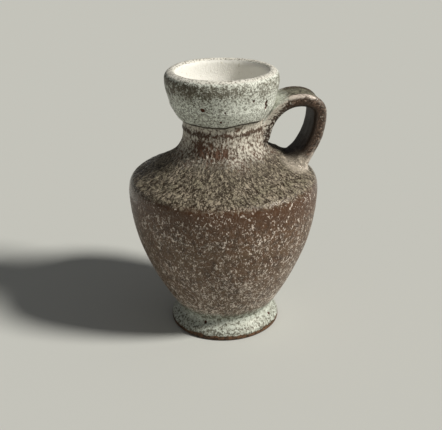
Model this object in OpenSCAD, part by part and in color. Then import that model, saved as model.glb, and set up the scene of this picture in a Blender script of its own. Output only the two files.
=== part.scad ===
// Small wheel-thrown stoneware juglet with a cup-shaped mouth and one strap handle.
// The body is turned round the Z axis and stands on Z = 0. The handle points along +X.
// Heights are stacked from the table upwards, so each zone rides on the one below it.

/* [Foot] */
// Radius of the spreading foot at its edge
foot_r = 26.6; // [23:0.1:32]
// Height of the waist between the foot and the belly
foot_h = 8.8; // [7:0.1:12]
// Radius of the waist
waist_r = 22.3; // [18:0.1:24]
// Width of the ring that the pot stands on
ring_w = 5; // [3.5:0.1:8]
// Depth of the turned recess inside that ring
recess_depth = 1.8; // [1:0.1:3]

/* [Belly] */
// Radius at the widest point
belly_r = 44.3; // [38:0.1:52]
// Height of the widest point above the waist
belly_rise = 60.5; // [50:0.5:75]

/* [Shoulder] */
// How far the shoulder's edge is turned in from the widest point
edge_inset = 3.1; // [2:0.1:5]
// Height of the shoulder's edge above the widest point
edge_rise = 7.2; // [6:0.1:10]
// Slope of the shoulder at its edge, as rise over run
shoulder_slope = 0.42; // [0.3:0.01:0.6]

/* [Neck] */
// Radius of the neck where it is narrowest
neck_r = 18; // [15:0.1:21]
// Height of the narrowest part of the neck above the shoulder's edge
neck_rise = 21.3; // [18:0.1:28]
// Height of the throwing ridge round the neck
ridge_h = 3; // [2:0.1:4]
// How far that ridge stands out
ridge_out = 0.35; // [0.2:0.05:0.8]

/* [Collar] */
// Radius at the bottom of the collar's wall
collar_foot_r = 23.6; // [22:0.1:25]
// Height of the collar's curved underside
collar_under_h = 10.8; // [8:0.1:14]
// Radius of the collar at the rim
collar_r = 25.6; // [25:0.1:30]
// Height of the collar's wall above its underside
collar_h = 10; // [8:0.1:15]
// Radius of the crest of the lip
crest_r = 22.3; // [21.5:0.1:23.5]
// Height of the rounded lip above the wall
lip_h = 3.4; // [2.5:0.1:4.5]

/* [Wall] */
// Thickness of the thrown wall
wall = 4.5; // [3.5:0.1:5.5]
// Thickness of the floor above the recess
floor_t = 5.5; // [4:0.1:8]

/* [Handle] */
// Width of the strap
strap_w = 16.8; // [12:0.1:20]
// Thickness of the strap
strap_t = 4.5; // [3.5:0.1:6]
// Distance from the neck to the crown of the handle
crown_out = 16.6; // [14:0.1:21]
// Height of the crown above the neck's ridge
crown_rise = 10; // [6:0.1:12]
// Distance from the neck to the outermost point of the handle
reach = 26.3; // [24:0.1:32]
// Drop from the crown to the outermost point
reach_drop = 6.7; // [5:0.1:9]
// Distance from the shoulder's edge up its slope to where the handle lands
landing_in = 8.1; // [7:0.1:11]
// How far the strap spreads all round where it was pressed on
root_spread = 3.4; // [2:0.1:4]

/* [Hidden] */

// Facets round the body in a preview
$fn = 160;
// Steps in one curved stretch of the body's outline
outline_steps = 10;
// Steps along the handle: from its neck end to the crown, over the top, and down to the shoulder
handle_steps = [28, 10, 28];

// Directions in the outline's plane, which holds the radius and the height
up = [0, 1];
down = [0, -1];
out = [1, 0];
in = [-1, 0];

// Heights of the named places, each stacked on the one below
waist_z = foot_h;
belly_z = waist_z + belly_rise;
edge_z = belly_z + edge_rise;
neck_z = edge_z + neck_rise;
collar_z = neck_z + ridge_h;
wall_z = collar_z + collar_under_h;
rim_z = wall_z + collar_h;
crest_z = rim_z + lip_h;

// Rounding of the foot's lower edge
foot_round = 1.3;
// The belly rolls out of the waist in a short fillet, and then leans steadily outwards
fillet_h = 3.2;
fillet_out = 2.2;
belly_lean = unit([0.642, 1]);
belly_start = [waist_r + fillet_out, waist_z + fillet_h];
// How long the belly keeps that lean, and how soon it stands upright, as pulls
lean_pull = 0.34;
upright_pull = 0.35;

// The shoulder rises inwards from its edge
edge = [belly_r - edge_inset, edge_z];
shoulder_way = unit([-1, shoulder_slope]);

// The collar's wall leans outwards
collar_way = unit([collar_r - collar_foot_r, collar_h]);

// The throat is the narrowest part of the inside
throat = [neck_r - wall, collar_z];
// The rounded lip is this much narrower and lower on its inner side
lip_in = 1.9;
lip_in_drop = 2.6;
// The inside starts to curve down this far short of the shoulder's edge
turn_in = 3.5;
// Radius of the flat middle of the floor
floor_r = 9;
floor_z = recess_depth + floor_t;

function unit(v) = v / norm(v);

// A cubic curve from a to d that heads for b and arrives from c
function cubic(a, b, c, d, t) =
    pow(1 - t, 3) * a + 3 * pow(1 - t, 2) * t * b + 3 * (1 - t) * t * t * c + pow(t, 3) * d;

// A smooth bend from a, left in one direction, to d, reached in another, without its first point.
// Each pull is how far the curve keeps that direction, as a share of the straight distance.
function bend(a, leaving, d, arriving, pull_a = 0.4, pull_d = 0.4, steps = outline_steps) =
    let (span = norm(d - a), b = a + leaving * pull_a * span, c = d - arriving * pull_d * span)
    [for (i = [1 : steps]) cubic(a, b, c, d, i / steps)];

// The point at depth t behind a surface that runs in the direction way
function behind(point, way, t) = point + t * [-way[1], way[0]];

// Outside of the foot: a rounded edge, then a slope that sweeps up into the waist
function foot_outline() = concat(
    [[foot_r - foot_round, 0]],
    bend([foot_r - foot_round, 0], out, [foot_r, foot_round], up),
    bend([foot_r, foot_round], up, [waist_r, waist_z], up, 0.44, 0.46)
);

// Outside of the belly, from the waist to the widest point
function belly_outline() = concat(
    bend([waist_r, waist_z], up, belly_start, belly_lean),
    bend(belly_start, belly_lean, [belly_r, belly_z], up, lean_pull, upright_pull)
);

// Outside of the shoulder: over its edge and up to the neck
function shoulder_outline() = concat(
    bend([belly_r, belly_z], up, edge, shoulder_way, 0.54, 0.26),
    bend(edge, shoulder_way, [neck_r, neck_z], up, 0.64, 0.25)
);

// The throwing ridge round the neck
function ridge_outline() =
    let (crest = [neck_r + ridge_out, neck_z + ridge_h / 2])
    concat(
        bend([neck_r, neck_z], up, crest, up, 0.5, 0.3),
        bend(crest, up, [neck_r, collar_z], up, 0.3, 0.5)
    );

// Outside of the collar: a curved underside, a wall that leans out and a thick rounded lip
function collar_outline() = concat(
    bend([neck_r, collar_z], up, [collar_foot_r, wall_z], collar_way, 0.3, 0.35),
    bend([collar_foot_r, wall_z], collar_way, [collar_r, rim_z], up),
    bend([collar_r, rim_z], up, [crest_r, crest_z], in, 0.45, 0.45)
);

// Inside of the mouth, from the crest of the lip down to the throat
function mouth_outline() =
    let (lip = [crest_r - lip_in, crest_z - lip_in_drop], cup_foot = [collar_foot_r - wall, wall_z])
    concat(
        bend([crest_r, crest_z], in, lip, down),
        bend(lip, down, cup_foot, -collar_way),
        bend(cup_foot, -collar_way, throat, down, 0.45, 0.3)
    );

// Inside of the pot, from the throat out under the shoulder and down to the floor
function chamber_outline() =
    let (under_edge = behind(edge + turn_in * shoulder_way, shoulder_way, wall),
         side = [belly_r - wall, belly_z],
         corner = behind(belly_start, belly_lean, wall))
    concat(
        bend(throat, down, under_edge, -shoulder_way, 0.3, 0.58),
        bend(under_edge, -shoulder_way, side, down, 0.5, 0.3),
        bend(side, down, corner, -belly_lean, upright_pull, lean_pull),
        bend(corner, -belly_lean, [floor_r, floor_z], in, 0.3, 0.5),
        [[0, floor_z]]
    );

// The pot turned as if it were solid
module turned_form() {
    rotate_extrude()
        polygon(concat(
            [[0, 0]],
            foot_outline(), belly_outline(), shoulder_outline(), ridge_outline(), collar_outline(),
            [[0, crest_z]]
        ));
}

// The hollow, from just over the open mouth down to the floor
module hollow() {
    over = crest_z + 1;
    rotate_extrude()
        polygon(concat(
            [[0, over], [crest_r, over], [crest_r, crest_z]],
            mouth_outline(), chamber_outline()
        ));
}

// The shallow recess inside the ring that the pot stands on, which turns smoothly into its roof
module recess() {
    ring_in = foot_r - foot_round - ring_w;
    rotate_extrude()
        polygon(concat(
            [[0, -1], [ring_in, -1], [ring_in, 0]],
            bend([ring_in, 0], up, [ring_in - recess_depth, recess_depth], in),
            [[0, recess_depth]]
        ));
}

// The handle's middle line runs out of the neck, over the crown and down into the shoulder.
// It starts and ends inside the wall, so that the strap's ends are buried.
neck_root_depth = 1.35 * wall;
neck_root_drop = 7.2;
neck_root_way = unit([0.6, 0.8]);
neck_root = [neck_r - neck_root_depth, neck_z - neck_root_drop];
crown = [neck_r + crown_out, collar_z + crown_rise];
outermost = [neck_r + reach, crown[1] - reach_drop];
shoulder_root = behind(edge + landing_in * shoulder_way, shoulder_way, wall);
shoulder_root_way = unit([-0.5, -0.86]);

function handle_line() = concat(
    [neck_root],
    bend(neck_root, neck_root_way, crown, out, 0.5, 0.36, handle_steps[0]),
    bend(crown, out, outermost, down, 0.38, 0.4, handle_steps[1]),
    bend(outermost, down, shoulder_root, shoulder_root_way, 0.42, 0.36, handle_steps[2])
);

// Radius of the strap's long edges, and how much softer they get per millimetre of spread
strap_round = 1.4;
softening = 0.7;
// How far the broad faces are cambered
camber = 0.3;
// Distance from each buried end over which the spreading root narrows to the plain strap
neck_root_reach = 9.8;
shoulder_root_reach = 7;
// Steps round one corner of the strap's section, and across one broad face
corner_steps = 4;
face_steps = 4;

// Direction of a line at one of its points
function heading(line, i) = unit(line[min(i + 1, len(line) - 1)] - line[max(i - 1, 0)]);

// How far the strap's faces stand out at a point beyond those of the plain strap
function swelling(point) = root_spread
    * (fading(norm(point - neck_root) / neck_root_reach)
    + fading(norm(point - shoulder_root) / shoulder_root_reach));
function fading(share) = exp(-pow(share, 2.5));

// A quarter round of radius r at a corner of the section, centred at c, from one angle on
function corner(c, r, from) = [
    for (k = [0 : corner_steps]) let (a = from + 90 * k / corner_steps) c + r * [cos(a), sin(a)]
];

// One broad face with its two corners, and then the same turned half round
function section(w, t, r) =
    let (cw = w / 2 - r, ct = t / 2 - r,
         face = [for (k = [1 : face_steps - 1]) let (s = 1 - 2 * k / face_steps)
            [s * cw, t / 2 + camber * (1 - s * s)]],
         half = concat(corner([cw, ct], r, 0), face, corner([-cw, ct], r, 90)))
    concat(half, -half);

// The section of the strap, placed square to its middle line
function strap_ring(line, i) =
    let (way = heading(line, i), s = swelling(line[i]))
    [for (p = section(strap_w + 2 * s, strap_t + 2 * s, strap_round + softening * s))
        [line[i][0] - way[1] * p[1], p[0], line[i][1] + way[0] * p[1]]];

module strap() {
    line = handle_line();
    rings = [for (i = [0 : len(line) - 1]) strap_ring(line, i)];
    n = len(rings[0]);
    last = (len(rings) - 1) * n;
    sides = [for (i = [0 : n : last - n], k = [0 : n - 1]) let (a = i + k, b = i + (k + 1) % n)
        each [[a, b + n, b], [a, a + n, b + n]]];
    ends = [[for (k = [0 : n - 1]) k], [for (k = [n - 1 : -1 : 0]) last + k]];
    polyhedron([for (ring = rings) each ring], concat(sides, ends), convexity = 6);
}

module juglet() {
    color([0.36, 0.29, 0.24])
        difference() {
            union() {
                turned_form();
                strap();
            }
            hollow();
            recess();
        }
}

juglet();
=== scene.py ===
import math

import bmesh
import bpy
from mathutils import Matrix, Vector, kdtree, noise


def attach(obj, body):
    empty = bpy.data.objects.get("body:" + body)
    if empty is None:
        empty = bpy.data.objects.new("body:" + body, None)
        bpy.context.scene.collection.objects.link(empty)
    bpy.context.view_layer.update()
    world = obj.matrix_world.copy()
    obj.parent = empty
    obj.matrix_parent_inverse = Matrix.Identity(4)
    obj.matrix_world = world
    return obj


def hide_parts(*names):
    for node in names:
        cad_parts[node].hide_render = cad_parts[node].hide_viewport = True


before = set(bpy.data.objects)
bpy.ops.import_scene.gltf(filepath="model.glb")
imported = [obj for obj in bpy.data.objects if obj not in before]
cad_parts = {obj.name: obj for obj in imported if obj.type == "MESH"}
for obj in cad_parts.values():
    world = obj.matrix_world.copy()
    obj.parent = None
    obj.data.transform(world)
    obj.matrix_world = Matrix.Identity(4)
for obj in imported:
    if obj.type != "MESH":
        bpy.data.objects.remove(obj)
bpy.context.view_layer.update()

bpy.ops.object.select_all(action="DESELECT")

# ---------------------------------------------------------------- camera
# The view of the photograph: from about 40 cm in front, a little to the left of square on
# to the handle, looking down by some 24 degrees. The picture leans by under a degree.
CAMERA_PLACE = (-0.0560, -0.3455, 0.2072)
CAMERA_TURN, CAMERA_TILT, CAMERA_LEAN = -9.0, 66.392, -0.896
SENSOR_WIDTH, LENS, NEAREST = 36.0, 64.66, 0.01
bpy.ops.object.camera_add(location=CAMERA_PLACE)
camera = bpy.context.object
camera.rotation_euler = (
    Matrix.Rotation(math.radians(CAMERA_TURN), 3, "Z")
    @ Matrix.Rotation(math.radians(CAMERA_TILT), 3, "X")
    @ Matrix.Rotation(math.radians(CAMERA_LEAN), 3, "Z")
).to_euler()
camera.data.sensor_width = SENSOR_WIDTH
camera.data.lens = LENS
camera.data.clip_start = NEAREST
bpy.context.scene.camera = camera
bpy.context.scene.view_settings.view_transform = "Standard"

# ---------------------------------------------------------------- floor and light
# A plain pale table top that runs out of sight, one soft light on the right of the camera
# and 40 degrees up, as from a wide window, and an even pale surround.
FLOOR_SIZE, FLOOR_ROUGHNESS = 40.0, 0.9
FLOOR_COLOUR = (0.60, 0.61, 0.575, 1)
SURROUND_COLOUR, SURROUND_LEVEL = (0.82, 0.82, 0.82, 1), 0.16
BACKDROP_COLOUR, BACKDROP_LEVEL = (0.72, 0.715, 0.68, 1), 0.80
LIGHT_COLOUR = (1.0, 0.97, 0.92)
LIGHT_SIDE, LIGHT_HEIGHT, LIGHT_SPREAD, LIGHT_LEVEL = 70.0, 40.0, 12.0, 3.85
bpy.ops.mesh.primitive_plane_add(size=FLOOR_SIZE, location=(0, 0, 0))
floor = bpy.context.object
floor.name = "table_top"
paint = bpy.data.materials.new("matt_paint")
paint.use_nodes = True
coat = paint.node_tree.nodes["Principled BSDF"]
coat.inputs["Base Color"].default_value = FLOOR_COLOUR
coat.inputs["Roughness"].default_value = FLOOR_ROUGHNESS
coat.inputs["Specular IOR Level"].default_value = 0.0
floor.data.materials.append(paint)

# The surround lights the pot at one level, and is seen by the camera at the table's tone
world = bpy.data.worlds.new("studio")
bpy.context.scene.world = world
world.use_nodes = True
studio = world.node_tree
surround = studio.nodes["Background"]
surround.inputs["Color"].default_value = SURROUND_COLOUR
surround.inputs["Strength"].default_value = SURROUND_LEVEL
backdrop = studio.nodes.new("ShaderNodeBackground")
backdrop.inputs["Color"].default_value = BACKDROP_COLOUR
backdrop.inputs["Strength"].default_value = BACKDROP_LEVEL
seen = studio.nodes.new("ShaderNodeLightPath")
either = studio.nodes.new("ShaderNodeMixShader")
studio.links.new(seen.outputs["Is Camera Ray"], either.inputs["Fac"])
studio.links.new(surround.outputs[0], either.inputs[1])
studio.links.new(backdrop.outputs[0], either.inputs[2])
studio.links.new(either.outputs[0], studio.nodes["World Output"].inputs["Surface"])

light_turn, light_rise = math.radians(LIGHT_SIDE + CAMERA_TURN), math.radians(LIGHT_HEIGHT)
to_light = Vector((
    math.sin(light_turn) * math.cos(light_rise),
    -math.cos(light_turn) * math.cos(light_rise),
    math.sin(light_rise),
))
bpy.ops.object.light_add(type="SUN", location=to_light)
lamp = bpy.context.object
lamp.name = "window_light"
lamp.rotation_euler = (-to_light).to_track_quat("-Z", "Y").to_euler()
lamp.data.angle = math.radians(LIGHT_SPREAD)
lamp.data.energy = LIGHT_LEVEL
lamp.data.color = LIGHT_COLOUR

# ---------------------------------------------------------------- thrown body
# A small jug of brown stoneware, thrown on the wheel in one piece: a foot turned out below,
# an egg-shaped belly, a sloping shoulder with a soft edge, a short neck and a cup-shaped
# mouth. The outline is drawn as the potter's rib would meet it, in millimetres, and spun.
MM = 0.001
TURNS = 360
UP, DOWN, OUT, IN = Vector((0, 1)), Vector((0, -1)), Vector((1, 0)), Vector((-1, 0))
WALL = 4.5
RECESS_Z, TOE_Z, FLOOR_Z, WAIST_Z, BELLY_Z, EDGE_Z = 1.8, 1.3, 7.3, 8.8, 69.3, 76.5
NECK_Z, RIDGE_Z, COLLAR_Z, CUP_Z, RIM_Z, CREST_Z = 97.8, 99.3, 100.8, 111.6, 121.6, 125.0
RECESS_R, STAND_IN_R, STAND_OUT_R, TOE_R, WAIST_R = 18.5, 20.3, 25.3, 26.6, 22.3
BELLY_R, EDGE_R, NECK_R, RIDGE_R, CUP_R, RIM_R, CREST_R = 44.3, 41.2, 18.0, 18.35, 23.6, 25.6, 22.3
TOUCHING = 0.004
BELLY_LEAN = Vector((0.642, 1)).normalized()
SHOULDER_WAY = Vector((-1, 0.42)).normalized()
COLLAR_WAY = Vector((2, 10)).normalized()


def bend(start, leaving, end, arriving, pull_a, pull_d, spacing):
    """Points of a smooth bend after its first, with rows about spacing millimetres apart."""
    start, end = Vector(start), Vector(end)
    span = (end - start).length
    steps = max(2, round(span * 1.05 / spacing))
    b, c = start + leaving * pull_a * span, end - arriving * pull_d * span
    found = []
    for i in range(1, steps + 1):
        t = i / steps
        found.append(
            start * (1 - t) ** 3 + b * 3 * t * (1 - t) ** 2 + c * 3 * t * t * (1 - t) + end * t ** 3
        )
    return found


def behind(point, way, depth):
    """The point at a depth inside a surface that runs a given way."""
    return Vector(point) + depth * Vector((-way.y, way.x))


def spun(name, outline):
    """Extrudes one vertex along an outline of radius and height, and spins it into a skin."""
    bpy.ops.mesh.primitive_plane_add(size=MM, location=(outline[0].x * MM, 0, outline[0].y * MM))
    skin = bpy.context.object
    skin.name = name
    bpy.ops.object.transform_apply(location=True, rotation=False, scale=False)
    bpy.ops.object.mode_set(mode="EDIT")
    bpy.ops.mesh.select_mode(type="VERT")
    bpy.ops.mesh.merge(type="CENTER")
    for before, after in zip(outline, outline[1:]):
        step = (after - before) * MM
        bpy.ops.mesh.extrude_vertices_move(TRANSFORM_OT_translate={"value": (step.x, 0, step.y)})
    bpy.ops.mesh.select_all(action="SELECT")
    bpy.ops.mesh.spin(steps=TURNS, angle=math.tau, center=(0, 0, 0), axis=(0, 0, 1))
    bpy.ops.mesh.select_all(action="SELECT")
    bpy.ops.mesh.remove_doubles(threshold=TOUCHING * MM)
    bpy.ops.mesh.normals_make_consistent(inside=False)
    bpy.ops.object.mode_set(mode="OBJECT")
    return skin


edge = Vector((EDGE_R, EDGE_Z))
belly_start = Vector((24.5, 12))
outside = (
    [Vector((0, RECESS_Z)), Vector((9, RECESS_Z)), Vector((RECESS_R, RECESS_Z))]
    + bend((RECESS_R, RECESS_Z), OUT, (STAND_IN_R, 0), DOWN, 0.4, 0.4, 0.9)
    + [Vector((22.8, 0)), Vector((STAND_OUT_R, 0))]
    + bend((STAND_OUT_R, 0), OUT, (TOE_R, TOE_Z), UP, 0.4, 0.4, 0.6)
    + bend((TOE_R, TOE_Z), UP, (WAIST_R, WAIST_Z), UP, 0.44, 0.46, 0.7)
    + bend((WAIST_R, WAIST_Z), UP, belly_start, BELLY_LEAN, 0.4, 0.4, 0.8)
    + bend(belly_start, BELLY_LEAN, (BELLY_R, BELLY_Z), UP, 0.34, 0.35, 2.2)
    + bend((BELLY_R, BELLY_Z), UP, edge, SHOULDER_WAY, 0.54, 0.26, 0.6)
    + bend(edge, SHOULDER_WAY, (NECK_R, NECK_Z), UP, 0.64, 0.25, 0.5)
    + bend((NECK_R, NECK_Z), UP, (RIDGE_R, RIDGE_Z), UP, 0.5, 0.3, 0.5)
    + bend((RIDGE_R, RIDGE_Z), UP, (NECK_R, COLLAR_Z), UP, 0.3, 0.5, 0.5)
    + bend((NECK_R, COLLAR_Z), UP, (CUP_R, CUP_Z), COLLAR_WAY, 0.3, 0.35, 0.42)
    + bend((CUP_R, CUP_Z), COLLAR_WAY, (RIM_R, RIM_Z), UP, 0.4, 0.4, 0.8)
    + bend((RIM_R, RIM_Z), UP, (CREST_R, CREST_Z), IN, 0.45, 0.45, 0.6)
)
lip_inside = Vector((20.4, 122.4))
cup_foot = Vector((CUP_R - WALL, CUP_Z))
throat = Vector((NECK_R - WALL, COLLAR_Z))
under_edge = behind(edge + 3.5 * SHOULDER_WAY, SHOULDER_WAY, WALL)
corner = behind(belly_start, BELLY_LEAN, WALL)
inside = (
    [Vector((CREST_R, CREST_Z))]
    + bend((CREST_R, CREST_Z), IN, lip_inside, DOWN, 0.4, 0.4, 0.6)
    + bend(lip_inside, DOWN, cup_foot, -COLLAR_WAY, 0.4, 0.4, 1.1)
    + bend(cup_foot, -COLLAR_WAY, throat, DOWN, 0.45, 0.3, 1.3)
    + bend(throat, DOWN, under_edge, -SHOULDER_WAY, 0.3, 0.58, 5)
    + bend(under_edge, -SHOULDER_WAY, (BELLY_R - WALL, BELLY_Z), DOWN, 0.5, 0.3, 3)
    + bend((BELLY_R - WALL, BELLY_Z), DOWN, corner, -BELLY_LEAN, 0.35, 0.34, 8)
    + bend(corner, -BELLY_LEAN, (9, FLOOR_Z), IN, 0.3, 0.5, 4)
    + [Vector((0, FLOOR_Z))]
)
juglet = spun("juglet_glazed", outside + [Vector((0, CREST_Z))])

# ---------------------------------------------------------------- strap handle
# A pulled strap of the same clay, pressed on under the collar and on the shoulder while
# soft, so that both roots spread and run into the body without a seam.
STRAP_W, STRAP_T, STRAP_ROUND, CAMBER = 16.8, 4.5, 1.4, 0.3
# Edges of the bevelled section longer than these are its two wide and its two thin sides
WIDE_SIDE, THIN_SIDE, WIDE_CUTS = 5.0, 1.2, 15
ROOT_SPREAD, NECK_ROOT_REACH, SHOULDER_ROOT_REACH, ROOT_FADE = 3.4, 9.8, 7.0, 2.5
STRAP_SPACING = 0.85
BLEND_REACH, BLEND_PASSES = 5.0, 60
SEAM_REACH, SEAM_MERGE, CREST_MERGE = 1.0, 0.16, 0.01
AT_CREST = (CREST_Z - 0.001) * MM

neck_root, crown, outermost = Vector((11.925, 90.6)), Vector((34.6, 110.8)), Vector((44.3, 104.1))
shoulder_root = behind(edge + 8.1 * SHOULDER_WAY, SHOULDER_WAY, WALL)
up_and_out, down_and_in = Vector((0.6, 0.8)), Vector((-0.5, -0.86)).normalized()
middle_line = (
    [neck_root]
    + bend(neck_root, up_and_out, crown, OUT, 0.5, 0.36, STRAP_SPACING)
    + bend(crown, OUT, outermost, DOWN, 0.38, 0.4, STRAP_SPACING)
    + bend(outermost, DOWN, shoulder_root, down_and_in, 0.42, 0.36, STRAP_SPACING)
)


def strap_way(i):
    """The way that the strap's middle line runs at one of its points."""
    last = len(middle_line) - 1
    return (middle_line[min(i + 1, last)] - middle_line[max(i - 1, 0)]).normalized()


def strap_place(i):
    """The matrix that sets a strap's section, drawn flat, square to the middle line at a point."""
    point, way = middle_line[i], strap_way(i)
    spread = ROOT_SPREAD * (
        math.exp(-(((point - neck_root).length / NECK_ROOT_REACH) ** ROOT_FADE))
        + math.exp(-(((point - shoulder_root).length / SHOULDER_ROOT_REACH) ** ROOT_FADE))
    )
    across, through = Vector((0, 1, 0)), Vector((-way.y, 0, way.x))
    along = across.cross(through)
    facing = Matrix((across, through, along)).transposed().to_4x4()
    size = Matrix.Diagonal((1 + 2 * spread / STRAP_W, 1 + 2 * spread / STRAP_T, 1, 1))
    return Matrix.Translation((point.x * MM, 0, point.y * MM)) @ facing @ size


bpy.ops.mesh.primitive_plane_add(size=MM)
strap = bpy.context.object
strap.name = "strap"
bpy.ops.object.mode_set(mode="EDIT")
bpy.ops.transform.resize(value=(STRAP_W, STRAP_T, 1))
bpy.ops.mesh.bevel(offset=STRAP_ROUND * MM, segments=4, affect="VERTICES")
bpy.ops.mesh.select_all(action="DESELECT")
section = bmesh.from_edit_mesh(strap.data)
for e in section.edges:
    e.select_set(e.calc_length() > WIDE_SIDE * MM)
bpy.ops.mesh.subdivide(number_cuts=WIDE_CUTS)
section = bmesh.from_edit_mesh(strap.data)
for e in section.edges:
    upright = abs(e.verts[0].co.x - e.verts[1].co.x) < TOUCHING * MM
    e.select_set(upright and e.calc_length() > THIN_SIDE * MM)
bpy.ops.mesh.subdivide(number_cuts=1)
section = bmesh.from_edit_mesh(strap.data)
for v in section.verts:
    crown_rise = CAMBER * MM * max(0.0, 1 - (v.co.x / (STRAP_W / 2 * MM)) ** 2)
    v.co.y += math.copysign(crown_rise, v.co.y) * min(1.0, abs(v.co.y) / (STRAP_T / 2 * MM))
bpy.ops.mesh.select_all(action="SELECT")
bmesh.ops.transform(section, matrix=strap_place(0), verts=section.verts)
bmesh.update_edit_mesh(strap.data)
for i in range(1, len(middle_line)):
    bpy.ops.mesh.extrude_region_move()
    section = bmesh.from_edit_mesh(strap.data)
    move = strap_place(i) @ strap_place(i - 1).inverted()
    bmesh.ops.transform(section, matrix=move, verts=[v for v in section.verts if v.select])
bpy.ops.mesh.select_all(action="SELECT")
bpy.ops.mesh.normals_make_consistent(inside=False)
bpy.ops.object.mode_set(mode="OBJECT")

# The two are one lump of clay from here on. Slot 1 marks the strap until the seam is found.
for piece in (juglet, strap):
    for name in ("body_clay", "strap_clay"):
        piece.data.materials.append(bpy.data.materials.get(name) or bpy.data.materials.new(name))
for face in strap.data.polygons:
    face.material_index = 1
bpy.ops.object.select_all(action="DESELECT")
juglet.select_set(True)
bpy.context.view_layer.objects.active = juglet
union = juglet.modifiers.new("press_on", "BOOLEAN")
union.operation, union.solver, union.object = "UNION", "EXACT", strap
bpy.ops.object.modifier_apply(modifier="press_on")
bpy.data.objects.remove(strap)

# The union comes out in no fixed order, so its corners and faces are put in order by place
lump = juglet.data
order = sorted(range(len(lump.vertices)), key=lambda i: tuple(lump.vertices[i].co))
rank = {old: new for new, old in enumerate(order)}
rings = []
for face in lump.polygons:
    ring = [rank[i] for i in face.vertices]
    first = ring.index(min(ring))
    rings.append((ring[first:] + ring[:first], face.material_index))
rings.sort()
ordered = bpy.data.meshes.new("juglet_glazed")
ordered.from_pydata([lump.vertices[i].co for i in order], [], [ring for ring, _ in rings])
for material in lump.materials:
    ordered.materials.append(material)
ordered.polygons.foreach_set("material_index", [slot for _, slot in rings])
juglet.data = ordered
bpy.data.meshes.remove(lump)


def near_places(mesh, places, reach):
    """Distance of each vertex to the nearest of some places, or reach if it is farther."""
    tree = kdtree.KDTree(len(places))
    for i, place in enumerate(places):
        tree.insert(place, i)
    tree.balance()
    return [min(reach, tree.find(v.co)[2]) for v in mesh.vertices]


def seam_places(mesh):
    """Places of the corners where the body's faces meet the strap's."""
    sides = {}
    for face in mesh.polygons:
        for key in face.edge_keys:
            sides.setdefault(key, set()).add(face.material_index)
    ends = {i for key, found in sides.items() if len(found) > 1 for i in key}
    return [mesh.vertices[i].co.copy() for i in ends]


seam = seam_places(juglet.data)
distance = near_places(juglet.data, seam, BLEND_REACH * MM)
# Slivers at the seam are merged away, and loose flaps that this leaves are deleted
bpy.ops.object.mode_set(mode="EDIT")
bpy.ops.mesh.select_mode(type="VERT")
bpy.ops.mesh.select_all(action="DESELECT")
skin = bmesh.from_edit_mesh(juglet.data)
for v, d in zip(skin.verts, distance):
    v.select_set(d < SEAM_REACH * MM)
skin.select_flush_mode()
bpy.ops.mesh.remove_doubles(threshold=SEAM_MERGE * MM)
bpy.ops.mesh.quads_convert_to_tris()
bpy.ops.mesh.select_mode(type="FACE")
bpy.ops.mesh.select_all(action="DESELECT")
skin = bmesh.from_edit_mesh(juglet.data)
for f in skin.faces:
    f.select_set(any(e.is_boundary for e in f.edges))
bpy.ops.mesh.delete(type="FACE")
bpy.ops.mesh.select_all(action="SELECT")
bpy.ops.mesh.select_mode(type="VERT")
bpy.ops.object.mode_set(mode="OBJECT")
# The clay within a few millimetres of the seam is smoothed, most at the seam itself
roots = juglet.vertex_groups.new(name="roots")
for i, d in enumerate(near_places(juglet.data, seam, BLEND_REACH * MM)):
    share = 1 - d / (BLEND_REACH * MM)
    if share > 0:
        roots.add([i], share * share * (3 - 2 * share), "REPLACE")
smooth = juglet.modifiers.new("wet_fingers", "SMOOTH")
smooth.factor, smooth.iterations, smooth.vertex_group = 0.5, BLEND_PASSES, "roots"
bpy.ops.object.modifier_apply(modifier="wet_fingers")

# The lid of the solid pot goes, and the inner skin is spun and joined on round the crest.
bpy.ops.object.mode_set(mode="EDIT")
bpy.ops.mesh.select_mode(type="FACE")
bpy.ops.mesh.select_all(action="DESELECT")
skin = bmesh.from_edit_mesh(juglet.data)
for f in skin.faces:
    f.select_set(all(v.co.z > AT_CREST for v in f.verts))
bpy.ops.mesh.delete(type="FACE")
bpy.ops.object.mode_set(mode="OBJECT")
inner = spun("inner_skin", inside)
marks = inner.data.attributes.new("inner_skin", "FLOAT", "POINT")
marks.data.foreach_set("value", [1.0] * len(inner.data.vertices))
bpy.ops.object.select_all(action="DESELECT")
inner.select_set(True)
juglet.select_set(True)
bpy.context.view_layer.objects.active = juglet
bpy.ops.object.join()
bpy.ops.object.mode_set(mode="EDIT")
bpy.ops.mesh.select_all(action="SELECT")
bpy.ops.mesh.remove_doubles(threshold=CREST_MERGE * MM)
bpy.ops.mesh.normals_make_consistent(inside=False)
bpy.ops.object.mode_set(mode="OBJECT")

# ---------------------------------------------------------------- glaze relief
# The glaze has a body of its own. It crawled into grains on the shoulder, ended in a thick
# rolled edge under the collar and above the clay of the foot, and left a few burst pinholes.
# Heights, widths and depths are in millimetres, turns in degrees round the pot from the handle.
HAND_WAVE, FINGER_RINGS, RIPPLES, STRAP_WAVE = 0.22, 0.06, 0.035, 0.10
GRAIN, GRAIN_STRETCH, GRAIN_HEIGHT = 1.15, 0.50, 0.46
FAN_R = 38.0
DRIP_Z, DRIP_THICK, DRIP_SAG, DRIP_CLIMB = 104.7, 0.65, 1.1, 4.5
HEM_Z, HEM_THICK = 2.5, 0.20
PITTING, LINE_DEPTH, LINE_Z, LIP_Z, LIP_WIDE = 0.07, 0.10, 121.9, 122.0, 1.8
BEAD, BEAD_AT, BEAD_HALF = 0.60, 7.3, 1.3
DISH, DISH_AT, DISH_HALF = 0.22, 4.6, 1.4
INNER_FULL, CORNER_FULL, CORNER_TURN, CORNER_HALF = 0.6, 2.0, 22.0, 26.0
BURST_RIM = 0.10
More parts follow.
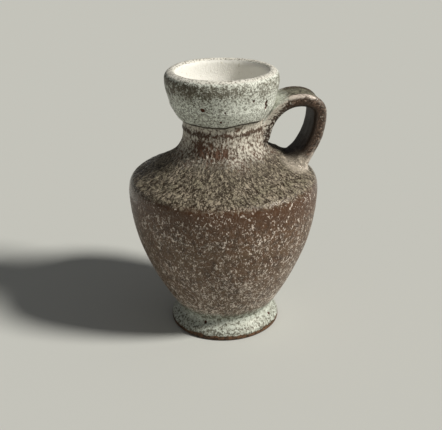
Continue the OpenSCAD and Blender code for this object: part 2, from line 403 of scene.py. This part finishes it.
# Each pinhole: turn, height, half width, half height and depth
PINHOLES = (
    (-119.2, 112.9, 1.05, 1.05, 0.5),
    (-100.8, 107.2, 0.60, 0.60, 0.5),
    (-96.3, 111.8, 0.45, 0.50, 0.4),
    (-66.5, 116.1, 0.55, 0.65, 0.5),
    (-47.5, 113.8, 0.90, 1.35, 0.7),
    (-46.4, 111.7, 0.90, 1.35, 0.7),
    (-123.8, 7.2, 0.65, 0.75, 0.5),
    (-35.4, 5.6, 0.75, 0.55, 0.5),
    (35.0, 114.9, 0.70, 0.80, 0.5),
    (71.0, 109.5, 0.55, 0.55, 0.4),
    (118.0, 117.2, 0.90, 0.75, 0.6),
    (152.0, 108.6, 0.60, 0.70, 0.5),
    (58.0, 6.4, 0.65, 0.60, 0.5),
    (139.0, 5.2, 0.80, 0.60, 0.5),
)


def fade(value, low, high):
    """0 below low, 1 above high, and smooth between; low may be the greater of the two."""
    t = min(1.0, max(0.0, (value - low) / (high - low)))
    return t * t * (3 - 2 * t)


def outline_radius(height):
    """Radius of the outside at a height, between the table and the crest."""
    rows = [p for p in outside if p.x > 20 or p.y > 60]
    low = max((p for p in rows if p.y <= height), key=lambda p: p.y)
    high = min((p for p in rows if p.y > height), key=lambda p: p.y)
    return low.x + (high.x - low.x) * (height - low.y) / (high.y - low.y)


pinholes = []
for turn, height, half_w, half_h, depth in PINHOLES:
    a, r = math.radians(turn), outline_radius(height)
    pinholes.append((Vector((r * math.cos(a), r * math.sin(a), height)), half_w, half_h, depth))
# Patches where the glaze ran thin and red-brown shows: turn, height, half width, half height
THIN_PATCHES = (
    (-128, 93.5, 8.0, 4.5),
    (-101, 91.5, 6.0, 3.0),
    (-78, 102.0, 1.2, 1.4),
    (-27, 97.2, 2.2, 4.0),
    (60, 94.0, 4.0, 2.5),
    (105, 101.8, 1.5, 1.2),
    (150, 92.0, 5.0, 3.0),
)
# Where the lower root was wiped on to the shoulder with a wet thumb
SMEAR_PLACE, SMEAR_REACH = Vector((32.5, -8.5, 81.0)), 9.8
thin_places = []
for turn, height, half_w, half_h in THIN_PATCHES:
    a, r = math.radians(turn), outline_radius(height)
    around = Vector((-math.sin(a), math.cos(a), 0))
    thin_places.append((Vector((r * math.cos(a), r * math.sin(a), height)), around, half_w, half_h))
bpy.ops.object.mode_set(mode="EDIT")
bpy.ops.mesh.select_all(action="DESELECT")
skin = bmesh.from_edit_mesh(juglet.data)
for f in skin.faces:
    middle = f.calc_center_median() / MM
    f.select_set(any((middle - place).length < max(w, h) + 0.5 for place, w, h, _ in pinholes))
bpy.ops.mesh.subdivide(number_cuts=2)
bpy.ops.object.mode_set(mode="OBJECT")


def drip_height(turn):
    """Height of the collar glaze's lower edge, round the pot; it climbs on to the handle."""
    p = Vector((math.cos(turn), math.sin(turn), 0))
    front = math.degrees(turn) + 106
    return (
        DRIP_Z + 0.9 * noise.noise(p * 1.6 + Vector((3, 1, 0))) + 0.4 * noise.noise(p * 5)
        - DRIP_SAG * math.exp(-(front / 20) ** 2)
        + DRIP_CLIMB * math.exp(-(math.degrees(turn) / 24) ** 4)
    )


def hem_height(turn):
    """Height at which the foot's glaze ends above the bare clay."""
    p = Vector((math.cos(turn), math.sin(turn), 0))
    return HEM_Z + 0.7 * noise.noise(p * 3) + 0.5 * noise.noise(p * 11)


inner_skin = [
    m.value > 0.5 and v.co.z < AT_CREST
    for m, v in zip(juglet.data.attributes["inner_skin"].data, juglet.data.vertices)
]
facts = {name: [] for name in (
    "inner", "crawl", "above_drip", "above_hem", "strap", "outward", "pinhole", "thin", "smear"
)}
new_places = []
for v, is_inner in zip(juglet.data.vertices, inner_skin):
    p, n = v.co / MM, v.normal
    r, turn = math.hypot(p.x, p.y), math.atan2(p.y, p.x)
    on_strap = clear = outward = 0.0
    if not is_inner and p.x > 17 and p.z > 70:
        away = min((Vector((r, p.z)) - q).length for q in outside[20:])
        on_strap, clear = fade(away, 0.15, 1.6), fade(away, 0.8, 6.0)
        i = min(range(len(middle_line)), key=lambda i: (Vector((p.x, p.z)) - middle_line[i]).length)
        way = strap_way(i)
        outward = (Vector((p.x, p.z)) - middle_line[i]).dot(Vector((-way.y, way.x))) / (STRAP_T / 2)
    above_drip = p.z - drip_height(turn)
    above_hem = p.z - hem_height(turn)
    still = fade(p.z, 0.4, 3.0)  # the foot's ring stays flat on the table

    # soft unevenness of the hand, and rings left by the fingers
    rise = HAND_WAVE * noise.noise(p * 0.045 + Vector((5, 2, 7))) * still
    rise += FINGER_RINGS * noise.noise(Vector((p.x * 0.02, p.y * 0.02, p.z * 0.42))) * still
    rise += RIPPLES * noise.noise(p * 0.35) * still
    # grains of the shoulder, drawn out a little down the slope
    slope = fade(p.z, 74.5, 78.5) * fade(p.z, 103.0, 88.0)
    unrolled = Vector((FAN_R * math.cos(turn), FAN_R * math.sin(turn), GRAIN_STRETCH * (r - p.z)))
    lumps = noise.noise(unrolled / GRAIN)
    crumbs = noise.noise(unrolled / (GRAIN * 0.5) + Vector((9, 9, 9)))
    crawl = min(1.0, max(0.0, 0.5 + 0.95 * (lumps + 0.45 * crumbs)))
    if not is_inner:
        grains = slope * (1 - on_strap * (1 - 0.4 * fade(outward, 0.45, 0.95)))
        rise += GRAIN_HEIGHT * grains * (crawl - 0.5)
        # rolled edge of the collar glaze, thickest just above its end
        lip_down = fade(above_drip, -0.12, 0.42) * (1 - on_strap)
        rise += lip_down * (DRIP_THICK * (0.55 + 0.45 * fade(above_drip, 5.0, 0.8)))
        rise += HEM_THICK * fade(above_hem, -0.1, 0.5) * fade(p.z, 9.0, 5.0)
        # light pitting of the collar, the lip and the foot
        skin_share = max(fade(above_drip, 0, 1), fade(p.z, 12, 8) * still)
        rise += PITTING * skin_share * noise.noise(p * 0.9)
        # line below the lip
        rise -= LINE_DEPTH * math.exp(-((p.z - LINE_Z - 0.3 * math.sin(turn * 2)) / 0.35) ** 2)
        rise += STRAP_WAVE * noise.noise(p * 0.25) * on_strap
        # the strap's edges rolled up a little as it was pulled, with a shallow dish inside them
        rolled = BEAD * math.exp(-((abs(p.y) - BEAD_AT) / BEAD_HALF) ** 2)
        rolled -= DISH * math.exp(-((abs(p.y) - DISH_AT) / DISH_HALF) ** 2)
        rise += clear * (fade(outward, 0.1, 0.7) * rolled + INNER_FULL * fade(outward, -0.3, -0.9))
        # more clay was left in the corner behind the upper root
        full = CORNER_FULL * math.exp(-((math.degrees(turn) - CORNER_TURN) / CORNER_HALF) ** 4)
        rise += full * fade(p.z, 78, 83) * fade(p.z, 97, 92) * fade(r, 23, 29) * fade(r, 34, 30.5)
    elif p.z > LIP_Z:
        # the lip's glaze thins out over the crest
        rise += 0.55 * DRIP_THICK * fade(r, CREST_R - LIP_WIDE, CREST_R)
    hole = 0.0
    if not is_inner:
        for place, half_w, half_h, depth in pinholes:
            gap = p - place
            if gap.length < 3:
                side = Vector((-place.y, place.x, 0)).normalized()
                reach = math.hypot(gap.dot(side) / half_w, gap.z / half_h)
                dip = fade(reach, 1.15, 0.55)
                hole = max(hole, dip)
                rise += BURST_RIM * math.exp(-((reach - 1.35) / 0.3) ** 2) - depth * dip
    if p.z > LIP_Z and r > 20:
        facts["inner"].append(fade(r, CREST_R - 0.5, CREST_R - LIP_WIDE))
    else:
        facts["inner"].append(float(is_inner))
    facts["crawl"].append(crawl)
    facts["above_drip"].append(above_drip)
    facts["above_hem"].append(above_hem)
    facts["strap"].append(on_strap)
    facts["outward"].append(max(-1.0, min(1.0, outward)))
    reaches = (
        math.hypot((p - place).dot(around) / w, (p.z - place.z) / h, (p - place).length / 12)
        for place, around, w, h in thin_places
    )
    facts["thin"].append(0.0 if is_inner else max(fade(reach, 1.4, 0.3) for reach in reaches))
    from_smear = (p - SMEAR_PLACE).length
    facts["smear"].append(0.0 if is_inner else fade(from_smear, SMEAR_REACH, 3.0))
    facts["pinhole"].append(hole)
    new_places.append(v.co + n * rise * MM)
for v, place in zip(juglet.data.vertices, new_places):
    v.co = place
juglet.vertex_groups.clear()
juglet.data.attributes.remove(juglet.data.attributes["inner_skin"])
for name, values in facts.items():
    juglet.data.attributes.new(name, "FLOAT", "POINT").data.foreach_set("value", values)
juglet.data.materials.clear()
for name in ("body_clay", "strap_clay"):
    bpy.data.materials.remove(bpy.data.materials[name])
bpy.ops.object.shade_smooth()

# ---------------------------------------------------------------- glaze colours
# One reactive stoneware glaze all over, which fired to different faces: pale grey-green
# where it lies thick on collar and foot, dusty olive grains on the shoulder, satin brown
# with cream threads on the belly, and plain cream in the mouth. The foot's rim is bare clay.
CREAM = (0.90, 0.89, 0.83, 1)
CREAM_SHADE = (0.50, 0.46, 0.33, 1)
CELADON = (0.80, 0.83, 0.74, 1)
CELADON_GREY = (0.30, 0.30, 0.245, 1)
CELADON_SPECK = (0.075, 0.068, 0.045, 1)
FOOT_PALE = (0.55, 0.585, 0.51, 1)
BAND_BROWN = (0.080, 0.066, 0.042, 1)
BAND_DUST = (0.25, 0.225, 0.165, 1)
LIP = (0.85, 0.83, 0.74, 1)
LIP_SPECK = (0.125, 0.100, 0.065, 1)
NECK_CREAM = (0.62, 0.585, 0.495, 1)
NECK_BROWN = (0.078, 0.048, 0.029, 1)
RED_BROWN = (0.088, 0.042, 0.023, 1)
GRAIN_TOP = (0.360, 0.305, 0.228, 1)
GRAIN_BRIGHT_AND_GLINT = (0.54, 0.47, 0.37, 1)
GRAIN_OLIVE = (0.275, 0.245, 0.170, 1)
GRAIN_GAP = (0.028, 0.018, 0.010, 1)
BELLY_BROWN = (0.104, 0.052, 0.025, 1)
BELLY_DARK = (0.048, 0.025, 0.013, 1)
BELLY_RED = (0.075, 0.034, 0.016, 1)
BELLY_FILM = (0.127, 0.079, 0.043, 1)
THREAD = (0.78, 0.69, 0.59, 1)
HEM_OLIVE = (0.115, 0.108, 0.074, 1)
STRAP_DARK_AND_SHADE = (0.018, 0.009, 0.005, 1)
STRAP_BROWN = (0.050, 0.027, 0.016, 1)
STRAP_ROSE = (0.30, 0.205, 0.150, 1)
STRAP_EDGE_HIGHLIGHT = (0.66, 0.58, 0.50, 1)
OLIVE = (0.240, 0.228, 0.165, 1)
OLIVE_PALE = (0.34, 0.33, 0.25, 1)
OLIVE_DARK = (0.048, 0.041, 0.026, 1)
CLAY = (0.140, 0.072, 0.037, 1)
DRIP_LINE_AND_SHADE = (0.022, 0.018, 0.011, 1)
SMEAR = (0.60, 0.53, 0.43, 1)
PIT = (0.085, 0.028, 0.015, 1)
# Heights in millimetres at which one face of the glaze gives way to the next
SHOULDER_FROM, SHOULDER_FULL = 72.8, 76.2
NECK_FROM, NECK_FULL = 83.0, 91.0
LIP_FROM, LIP_FULL = 124.1, 124.9
HEM_FILM_FROM, HEM_FILM_FULL, FOOT_FROM, FOOT_FULL = 16.0, 11.5, 10.4, 8.4
# Roughness of each face, and how much glossier or drier some places are
BELLY_ROUGH, SHOULDER_ROUGH = 0.44, 0.60
EDGE_GLOSS, COLLAR_GLOSS, STRAP_GLOSS, CLAY_DRY, PIT_DRY = 0.32, 0.12, 0.33, 0.35, 0.3
GLAZE_IOR, GLAZE_SPECULAR, GLAZE_TINT = 1.5, 0.42, (1.0, 0.92, 0.82, 1)


def join(value, into):
    """Joins a node's output to an input, or sets the input's own value."""
    if isinstance(value, bpy.types.NodeSocket):
        tree.links.new(value, into)
    else:
        into.default_value = value


def node(kind, output=0, settings=None, **inputs):
    """Adds a node to the tree in hand, with its inputs by name (underscores for spaces) or
    by place (i0, i1), and gives one of its outputs."""
    made = tree.nodes.new("ShaderNode" + kind)
    for name, value in (settings or {}).items():
        setattr(made, name, value)
    for name, value in inputs.items():
        join(value, made.inputs[int(name[1:]) if name[1:].isdigit() else name.replace("_", " ")])
    return made.outputs[output]


# The arithmetic of masks, in words
def maths(operation, a, b=0.0):
    return node("Math", settings={"operation": operation}, i0=a, i1=b)


def plus(a, b):
    return maths("ADD", a, b)


def minus(a, b):
    return maths("SUBTRACT", a, b)


def times(a, b):
    return maths("MULTIPLY", a, b)


def either_of(a, b):
    return maths("MAXIMUM", a, b)


def step(value, low, high, at_low=0.0, at_high=1.0):
    """A smooth step between two values; low may be the greater of the two."""
    return node(
        "MapRange", settings={"interpolation_type": "SMOOTHSTEP"},
        Value=value, From_Min=low, From_Max=high, To_Min=at_low, To_Max=at_high,
    )


def mixed(share, a, b):
    return node("Mix", 2, {"data_type": "RGBA"}, i0=share, i6=a, i7=b)


def off_line(value, level):
    """How far a value is from a level, up or down."""
    return maths("ABSOLUTE", minus(value, level))


def scaled(vector, by):
    return node("VectorMath", settings={"operation": "SCALE"}, Vector=vector, Scale=by)


def cut(value, level, softness):
    """A soft-edged mask of where a value is above a level."""
    return step(value, minus(level, softness), plus(level, softness))


def cloud(vector, frequency, detail=3.0, roughness=0.6):
    return node("TexNoise", Vector=vector, Scale=frequency, Detail=detail, Roughness=roughness)


def effect(name, *numbers):
    """An empty node group with a Vector, some numbers and one Mask."""
    group = bpy.data.node_groups.new(name, "ShaderNodeTree")
    group.interface.new_socket("Vector", in_out="INPUT", socket_type="NodeSocketVector")
    for number in numbers:
        group.interface.new_socket(number, in_out="INPUT", socket_type="NodeSocketFloat")
    group.interface.new_socket("Mask", in_out="OUTPUT", socket_type="NodeSocketFloat")
    return group


def placed(group, **inputs):
    made = tree.nodes.new("ShaderNodeGroup")
    made.node_tree = group
    for name, value in inputs.items():
        join(value, made.inputs[name])
    return made.outputs["Mask"]


# Spots and blotches that run together: cloud noise cut off at a level
mottle = effect("mottle", "Size", "Level", "Softness", "Roughness")
tree = mottle
given = tree.nodes.new("NodeGroupInput").outputs
small = scaled(given["Vector"], maths("DIVIDE", 1.0, given["Size"]))
shade = cloud(small, 1.0, 2.5, given["Roughness"])
spot_mask = cut(shade, given["Level"], given["Softness"])
join(spot_mask, tree.nodes.new("NodeGroupOutput").inputs["Mask"])

# Short curved threads: the level line of one cloud, where a second cloud lets it show
threads = effect("threads", "Size", "Width", "Level", "Softness")
tree = threads
given = tree.nodes.new("NodeGroupInput").outputs
small = scaled(given["Vector"], maths("DIVIDE", 1.0, given["Size"]))
curl = node("TexNoise", "Color", Vector=small, Scale=0.7, Detail=1.0, Roughness=0.5)
curled = node(
    "VectorMath", settings={"operation": "MULTIPLY_ADD"}, i0=curl, i1=(3.2, 3.2, 3.2), i2=small
)
line = off_line(cloud(curled, 0.42, 1.0, 0.5), 0.5)
aside = node("VectorMath", settings={"operation": "ADD"}, i0=small, i1=(7.3, 2.1, 4.4))
patch = cloud(aside, 0.62, 2.0, 0.55)
shown = times(step(line, given["Width"], 0.0), cut(patch, given["Level"], given["Softness"]))
join(shown, tree.nodes.new("NodeGroupOutput").inputs["Mask"])

glaze = bpy.data.materials.new("glazed_stoneware")
glaze.use_nodes = True
tree = glaze.node_tree
tree.nodes.clear()
mm = scaled(node("TexCoord", "Object"), 1 / MM)
height = node("SeparateXYZ", "Z", Vector=mm)
tall = node("VectorMath", settings={"operation": "MULTIPLY"}, i0=mm, i1=(1.0, 1.0, 0.62))


def fact(name):
    """One of the values that the mesh keeps at its points."""
    return node("Attribute", "Fac", {"attribute_name": name})


def spots(size, level, softness=0.05, roughness=0.6, vector=mm):
    return placed(
        mottle, Vector=vector, Size=size, Level=level, Softness=softness, Roughness=roughness
    )


def strands(size, width, level, softness, vector=mm):
    return placed(threads, Vector=vector, Size=size, Width=width, Level=level, Softness=softness)


def uneven(value, noise_value, amount):
    """A value shifted up and down by a noise."""
    return plus(value, times(minus(noise_value, 0.5), amount))


wander = cloud(mm, 0.16, 3.0, 0.55)
ripple = cloud(mm, 0.62, 3.0, 0.6)
broad = cloud(mm, 0.085, 2.0, 0.5)
waved = uneven(height, wander, 9.0)
rippled = uneven(height, ripple, 5.0)

# belly: brown, redder below the shoulder, filmed lower down, with threads that run downwards
belly = mixed(spots(2.6, 0.50, 0.14), BELLY_DARK, BELLY_BROWN)
film = times(step(waved, 68.0, 50.0), spots(5.0, 0.48, 0.12))
belly = mixed(times(film, 0.55), belly, BELLY_FILM)
under_edge_red = step(waved, 60.0, 71.0)
belly = mixed(times(under_edge_red, 0.75), belly, BELLY_RED)
sparse = plus(step(waved, 60.0, 75.0, 0.552, 0.605), step(height, 26.0, 13.0, 0.0, -0.045))
sparse = uneven(sparse, broad, -0.18)
stroke_mask = either_of(
    strands(0.80, 0.062, sparse, 0.020, tall),
    strands(1.15, 0.050, plus(sparse, 0.03), 0.020),
)
dot_mask = spots(0.55, plus(sparse, 0.10), 0.03, 0.6, tall)
low_mask = times(strands(1.20, 0.060, 0.53, 0.03, tall), step(waved, 48.0, 22.0))
flecks = either_of(either_of(stroke_mask, low_mask), times(dot_mask, 0.55))
faint = times(spots(0.7, 0.57, 0.10, 0.7, tall), step(sparse, 0.64, 0.54, 0.04, 0.11))
belly = mixed(either_of(times(flecks, 0.92), faint), belly, THREAD)

# shoulder: grains that stand up are dusty olive, the gaps between are brown
flat = node("VectorMath", settings={"operation": "MULTIPLY"}, i0=mm, i1=(1.0, 1.0, 0.0))
from_axis = node("VectorMath", "Value", {"operation": "LENGTH"}, i0=flat)
facing_out = node("VectorMath", settings={"operation": "NORMALIZE"}, i0=flat)
down_slope = node("CombineXYZ", Z=times(minus(from_axis, height), GRAIN_STRETCH))
fan = node(
    "VectorMath", settings={"operation": "MULTIPLY_ADD"},
    i0=facing_out, i1=(FAN_R, FAN_R, 0.0), i2=down_slope,
)
crumbs = plus(times(cloud(fan, 0.85, 4.0, 0.68), 0.6), times(cloud(mm, 0.95, 4.0, 0.70), 0.4))
crawl = plus(times(fact("crawl"), 0.40), times(minus(crumbs, 0.34), 2.1))
crease = minus(1.0, step(off_line(cloud(fan, 0.40, 3.0, 0.60), 0.5), 0.016, 0.062))
crossing = minus(1.0, step(off_line(cloud(mm, 0.36, 3.0, 0.62), 0.5), 0.006, 0.045))
crease = either_of(crease, times(crossing, 0.8))
grain_mask = times(step(crawl, 0.30, 0.60), minus(1.0, times(crease, 0.92)))
shoulder = mixed(grain_mask, GRAIN_GAP, mixed(spots(6.0, 0.5, 0.2), GRAIN_TOP, GRAIN_OLIVE))
# Bright specks on the grains: partly the glaze, partly painted glints
shoulder = mixed(times(spots(0.8, 0.63, 0.04, 0.65), 0.7), shoulder, GRAIN_BRIGHT_AND_GLINT)

# neck: cream specks crowd together upwards; brown shows at the ridge and where it ran thin
ridge = step(off_line(uneven(height, ripple, 3.6), 99.5), 1.45, 0.35)
ridge = times(ridge, step(cloud(fan, 0.22, 2.0, 0.6), 0.36, 0.56, 0.45, 1.0))
crowd = step(waved, 84.0, 96.0, 0.565, 0.475)
crowd = plus(crowd, plus(times(ridge, 0.20), times(fact("thin"), 0.17)))
crowd = minus(crowd, times(step(height, 100.5, 102.0), 0.025))
crowd = uneven(crowd, broad, -0.20)
crowd = uneven(crowd, cloud(fan, 0.30, 2.0, 0.5), -0.20)
neck_specks = spots(0.95, crowd, 0.14, 0.70, tall)
neck_base = mixed(either_of(fact("thin"), step(wander, 0.50, 0.62)), NECK_BROWN, RED_BROWN)
neck_base = mixed(times(ridge, 0.7), neck_base, STRAP_BROWN)
neck = mixed(neck_specks, neck_base, NECK_CREAM)

# collar and foot: thick pale glaze, clouded with grey and netted with dark specks
# Painted light: the collar is painted paler on the side toward the lamp, with a fainter dust band,
# fewer grey blotches and fewer dark specks there
to_right = node("VectorMath", "Value", {"operation": "DOT_PRODUCT"}, i0=mm, i1=(0.8, -0.6, 0.0))
lit_side = step(to_right, -6.0, 20.0)
band = step(uneven(waved, ripple, 6.0), 114.0, 121.0)
band = times(band, step(uneven(height, ripple, 1.5), 124.6, 122.6))
band = times(band, step(lit_side, 0.0, 1.0, 1.0, 0.60))
band = times(band, step(cloud(mm, 0.32, 3.0, 0.62), 0.40, 0.58, 0.30, 1.0))
net = spots(0.80, uneven(minus(0.562, times(band, 0.172)), broad, 0.10), 0.035, 0.80)
blotch_level = plus(minus(0.495, times(band, 0.09)), times(lit_side, 0.08))
blotch = times(spots(1.15, uneven(blotch_level, wander, 0.25), 0.09, 0.70), 0.85)
collar = mixed(blotch, CELADON, CELADON_GREY)
collar = mixed(times(band, 0.70), collar, BAND_DUST)
net_share = minus(0.96, times(lit_side, 0.18))
collar = mixed(times(net, net_share), collar, mixed(band, CELADON_SPECK, BAND_BROWN))
lip = mixed(times(spots(0.85, 0.54, 0.06, 0.72), 0.75), LIP, LIP_SPECK)
collar = mixed(step(uneven(height, ripple, 1.2), LIP_FROM, LIP_FULL), collar, lip)
foot_level = uneven(step(height, 7.5, 2.5, 0.575, 0.50), broad, 0.10)
foot_net = times(spots(1.05, foot_level, 0.06, 0.72), 0.9)
foot = mixed(times(spots(1.6, 0.51, 0.09, 0.65), 0.70), FOOT_PALE, CELADON_GREY)
foot = mixed(foot_net, foot, CELADON_SPECK)

# handle: glossy brown sides and inside, dust on the faces that looked upwards, and the
# collar's pale glaze run on to it where it leaves the mouth; the inner face is painted dark as
# shade, and a painted highlight runs along the top edges
x_place = node("SeparateXYZ", "X", Vector=mm)
y_place = node("SeparateXYZ", "Y", Vector=mm)
outward = fact("outward")
from_mouth = uneven(x_place, ripple, 5.0)
off_middle = uneven(maths("ABSOLUTE", y_place), ripple, 0.8)
bead_share = times(step(off_middle, 5.9, 6.6), step(from_mouth, 27.0, 31.0))
upward = step(uneven(outward, ripple, 0.5), 0.45, 0.85)
upward = times(upward, step(uneven(height, wander, 8.0), 86.0, 102.0))
upward = times(upward, minus(1.0, bead_share))
# The inner face, toward the neck, is painted dark as shade: mostly the darkest brown, with fewer
# cream and rose specks; on the outer sides the darkest brown is only a mottle
side_level = plus(step(from_mouth, 24.0, 34.0, 0.46, 0.65), step(outward, 0.2, -0.7, 0.0, 0.12))
brown_share = times(spots(1.1, 0.50, 0.14, 0.72), step(outward, -0.9, -0.2, 0.1, 1.0))
rose_share = times(spots(0.75, 0.585, 0.05, 0.72), step(outward, -0.6, 0.1, 0.12, 0.75))
strap_side = mixed(brown_share, STRAP_DARK_AND_SHADE, STRAP_BROWN)
strap_side = mixed(rose_share, strap_side, STRAP_ROSE)
strap_side = mixed(times(spots(0.95, side_level, 0.07, 0.68), 0.75), strap_side, NECK_CREAM)
# The strap's top edges: glaze broken pale over them, and a painted highlight along them, most
# toward the mouth
edge_break_and_highlight = times(step(off_middle, 7.0, 7.8), step(outward, 0.25, 0.75))
edge_break_and_highlight = times(edge_break_and_highlight, step(from_mouth, 45.0, 38.5, 0.12, 1.0))
edge_break_and_highlight = times(edge_break_and_highlight, spots(1.0, 0.43, 0.12, 0.7, fan))
strap_side = mixed(times(edge_break_and_highlight, 0.88), strap_side, STRAP_EDGE_HIGHLIGHT)
strap_top = mixed(step(from_mouth, 36.0, 27.0), OLIVE, OLIVE_PALE)
strap_top = mixed(spots(1.0, 0.50, 0.06, 0.74), strap_top, OLIVE_DARK)
run_over = mixed(times(spots(1.2, 0.50, 0.08, 0.70), 0.8), CELADON, CELADON_GREY)
strap_top = mixed(times(step(from_mouth, 31.0, 26.5), 0.85), strap_top, run_over)
groove = step(off_line(off_middle, 5.6), 0.9, 0.3)
strap_top = mixed(times(groove, step(from_mouth, 27.0, 31.0, 0.0, 0.8)), strap_top, OLIVE_DARK)
handle = mixed(upward, strap_side, strap_top)

# the zones, from the belly up
colour = mixed(step(rippled, SHOULDER_FROM, SHOULDER_FULL), belly, shoulder)
colour = mixed(step(waved, NECK_FROM, NECK_FULL), colour, neck)
colour = mixed(step(fact("strap"), 0.08, 0.65), colour, handle)
radius = node("VectorMath", "Value", {"operation": "LENGTH"}, i0=mm)
round_pot = times(maths("ARCTAN2", y_place, x_place), 30.0)
pulled = node("CombineXYZ", X=round_pot, Y=times(radius, 0.22))
wiped = times(fact("smear"), step(cloud(pulled, 1.0, 3.0, 0.6), 0.34, 0.56, 0.35, 1.0))
wiped = times(wiped, step(uneven(height, ripple, 3.0), 88.0, 82.5, 0.12, 1.0))
colour = mixed(times(wiped, step(grain_mask, 0.0, 1.0, 0.55, 0.95)), colour, SMEAR)
hem_film = mixed(strands(1.15, 0.13, 0.46, 0.06, tall), HEM_OLIVE, FOOT_PALE)
colour = mixed(step(rippled, HEM_FILM_FROM, HEM_FILM_FULL), colour, hem_film)
colour = mixed(step(rippled, FOOT_FROM, FOOT_FULL), colour, foot)
above_hem = uneven(fact("above_hem"), cloud(mm, 1.1, 3.0, 0.65), 1.6)
bare = step(above_hem, 0.20, -0.20)
colour = mixed(bare, colour, mixed(spots(1.0, 0.52, 0.12), CLAY, GRAIN_GAP))
above_drip = uneven(fact("above_drip"), cloud(mm, 0.9, 2.0, 0.5), 0.4)
off_strap = step(fact("strap"), 0.9, 0.3)
colour = mixed(times(step(above_drip, -0.1, 0.15), off_strap), colour, collar)
# A dark line under the collar glaze's edge: partly the glaze, partly painted shade under the
# overhang
drip_line_and_shade = times(step(off_line(above_drip, -0.45), 0.95, 0.40), off_strap)
colour = mixed(times(drip_line_and_shade, 0.9), colour, DRIP_LINE_AND_SHADE)
mouth = mixed(times(spots(1.3, 0.66, 0.04), 0.45), CREAM, CREAM_SHADE)
colour = mixed(step(uneven(fact("inner"), ripple, 0.6), 0.25, 0.75), colour, mouth)
colour = mixed(step(fact("pinhole"), 0.10, 0.55), colour, PIT)

# gloss: satin belly, dry shoulder and clay, glassier collar, shoulder edge and handle
strap_side_share = times(fact("strap"), minus(1.0, upward))
edge_band = times(step(waved, 68.0, 72.5), step(waved, 82.5, 78.5))
roughness = step(rippled, 73.0, 76.5, BELLY_ROUGH, SHOULDER_ROUGH)
roughness = minus(roughness, times(edge_band, EDGE_GLOSS))
roughness = plus(roughness, times(bare, CLAY_DRY))
roughness = minus(roughness, times(step(above_drip, -0.1, 0.3), COLLAR_GLOSS))
outer_side = times(strap_side_share, step(outward, -0.95, -0.6))
roughness = minus(roughness, times(outer_side, STRAP_GLOSS))
roughness = plus(roughness, times(fact("pinhole"), PIT_DRY))
roughness = uneven(roughness, wander, 0.16)

# fine relief, in millimetres
fine = cloud(mm, 1.5, 3.0, 0.6)
relief = times(fine, step(rippled, 66.0, 72.5, 0.05, 0.28))
relief = times(relief, minus(1.0, times(strap_side_share, 0.50)))
on_shoulder = times(step(rippled, 73.0, 76.0), step(waved, 94.0, 88.0))
relief = plus(relief, times(times(grain_mask, 0.30), on_shoulder))
relief = times(relief, minus(1.0, times(edge_band, 0.65)))
relief = plus(relief, times(flecks, 0.03))
relief = minus(relief, times(net, 0.04))
bump = node("Bump", Strength=1.0, Distance=MM, Height=relief)

surface = node(
    "BsdfPrincipled", Base_Color=colour, Roughness=roughness, Normal=bump,
    IOR=GLAZE_IOR, Specular_IOR_Level=GLAZE_SPECULAR, Specular_Tint=GLAZE_TINT,
)
join(surface, tree.nodes.new("ShaderNodeOutputMaterial").inputs["Surface"])
juglet.data.materials.append(glaze)

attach(juglet, "root")
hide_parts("juglet")
